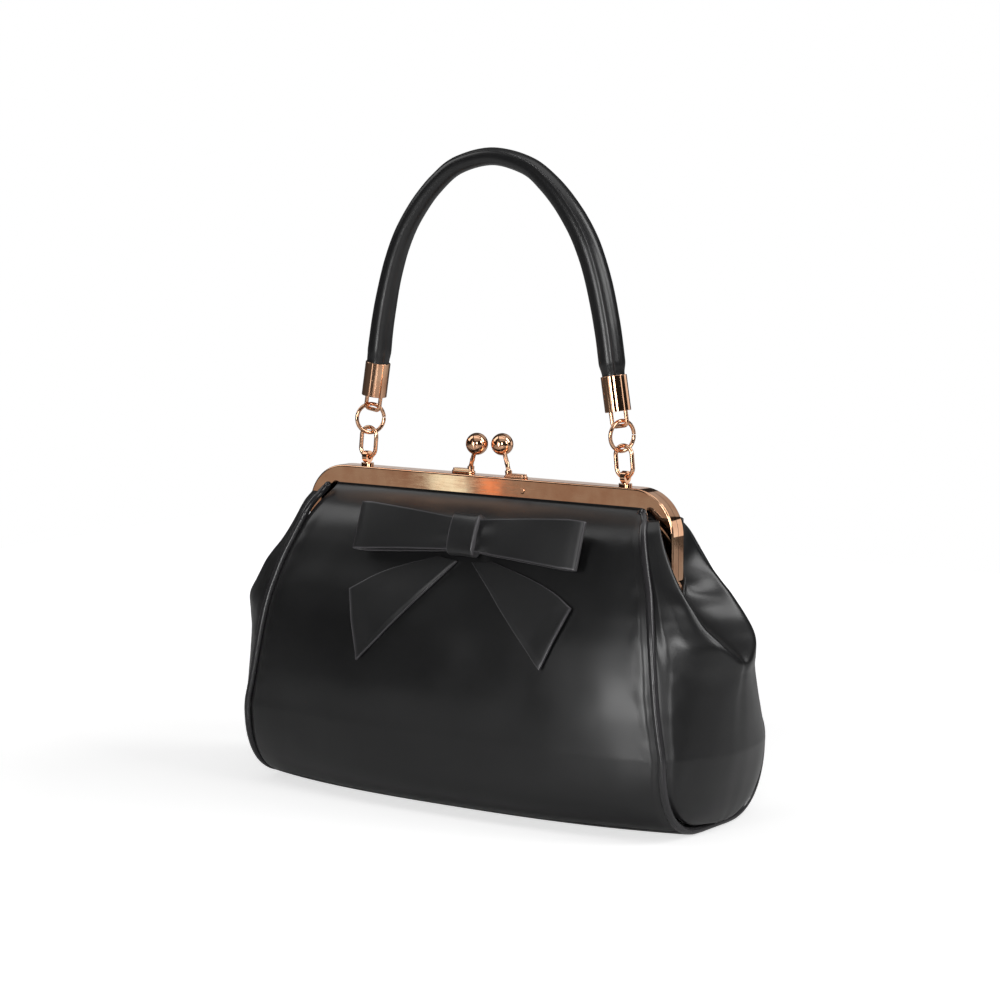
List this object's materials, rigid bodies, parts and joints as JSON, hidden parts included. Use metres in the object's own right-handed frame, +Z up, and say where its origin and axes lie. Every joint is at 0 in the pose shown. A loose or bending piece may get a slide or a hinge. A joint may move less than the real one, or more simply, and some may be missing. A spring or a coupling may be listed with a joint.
{
  "type": "handbag",
  "caption": "Structured leather frame handbag with ball clasp, end gussets, piped seams, a flat bow and a rigid top handle on linked rings.",
  "frame": {"origin": "on the flat of the base, below the closed frame's mid-plane and midway between the ends", "axes": "+Z up, +X to the bag's right as seen from the front, -Y towards the front (the bow side)"},
  "size_m": [0.3156, 0.1225, 0.3524],
  "materials": {
    "leather": "smooth black leather, soft sheen",
    "welt_leather": "black leather piping",
    "rose_metal": "polished rose-gold plating",
    "lining_fabric": "plain dark lining cloth",
    "board": "grey bag board",
    "cord": "twisted paper cord"
  },
  "bodies": {
    "body": {"left_hinge_pin": "rose_metal", "right_hinge_pin": "rose_metal", "front_panel": "leather", "rear_panel": "leather", "base_panel": "leather", "base_board": "board", "left_welt": "welt_leather", "right_welt": "welt_leather", "left_gusset": "leather", "right_gusset": "leather", "lining_body": "lining_fabric", "left_lining_end": "lining_fabric", "right_lining_end": "lining_fabric", "front_panel_flex": "leather", "left_welt_front_flex": "welt_leather", "right_welt_front_flex": "welt_leather", "left_gusset_front_flex": "leather", "right_gusset_front_flex": "leather", "lining_front_flex": "lining_fabric", "bow_left_loop": "leather", "bow_right_loop": "leather", "bow_knot": "leather", "bow_left_tail": "leather", "bow_right_tail": "leather", "rear_panel_flex": "leather", "left_welt_rear_flex": "welt_leather", "right_welt_rear_flex": "welt_leather", "left_gusset_rear_flex": "leather", "right_gusset_rear_flex": "leather", "lining_rear_flex": "lining_fabric"},
    "front_half": {"front_frame": "rose_metal", "front_edge_cord": "cord", "front_clasp_foot": "rose_metal", "front_ball": "rose_metal", "front_foot_rivet": "rose_metal"},
    "rear_half": {"rear_frame": "rose_metal", "rear_edge_cord": "cord", "rear_clasp_foot": "rose_metal", "rear_ball": "rose_metal", "rear_foot_rivet": "rose_metal", "left_post": "rose_metal", "right_post": "rose_metal"},
    "left_link_body": {"left_link": "rose_metal"},
    "right_link_body": {"right_link": "rose_metal"},
    "left_ring_body": {"left_ring": "rose_metal"},
    "right_ring_body": {"right_ring": "rose_metal"},
    "handle": {"left_bail": "rose_metal", "right_bail": "rose_metal", "left_ferrule": "rose_metal", "right_ferrule": "rose_metal", "handle_cover": "leather", "handle_core": "cord"}
  },
  "joints": [
    {"name": "front_swing", "type": "hinge", "parent": "body", "child": "front_half", "pos_m": [0, 0, 0.1259], "axis": [1, 0, 0], "range_deg": [0, 45], "deforming": ["front_panel_flex", "left_welt_front_flex", "right_welt_front_flex", "left_gusset_front_flex", "right_gusset_front_flex", "lining_front_flex", "bow_left_loop", "bow_right_loop", "bow_knot", "bow_left_tail", "bow_right_tail"]},
    {"name": "rear_swing", "type": "hinge", "parent": "body", "child": "rear_half", "pos_m": [0, 0, 0.1259], "axis": [-1, 0, 0], "range_deg": [0, 45], "deforming": ["rear_panel_flex", "left_welt_rear_flex", "right_welt_rear_flex", "left_gusset_rear_flex", "right_gusset_rear_flex", "lining_rear_flex"]},
    {"name": "left_link_swing", "type": "hinge", "parent": "rear_half", "child": "left_link_body", "pos_m": [-0.0848, 0.00287, 0.1815], "axis": [1, 0, 0], "range_deg": [-80, 80]},
    {"name": "right_link_swing", "type": "hinge", "parent": "rear_half", "child": "right_link_body", "pos_m": [0.0848, 0.00287, 0.1815], "axis": [1, 0, 0], "range_deg": [-80, 80]},
    {"name": "left_ring_swing", "type": "hinge", "parent": "left_link_body", "child": "left_ring_body", "pos_m": [-0.08322, 0.00287, 0.19792], "axis": [1, 0, 0], "range_deg": [-10, 20]},
    {"name": "right_ring_swing", "type": "hinge", "parent": "right_link_body", "child": "right_ring_body", "pos_m": [0.08322, 0.00287, 0.19792], "axis": [1, 0, 0], "range_deg": [-10, 20]},
    {"name": "handle_swing", "type": "hinge", "parent": "left_ring_body", "child": "handle", "pos_m": [-0.0813, 0.00287, 0.20807], "axis": [1, 0, 0], "range_deg": [-20, 5]}
  ],
  "couplings": [
    {"joint": "rear_swing", "follows": "front_swing", "ratio": 1},
    {"joint": "right_link_swing", "follows": "left_link_swing", "ratio": 1},
    {"joint": "right_ring_swing", "follows": "left_ring_swing", "ratio": 1}
  ]
}
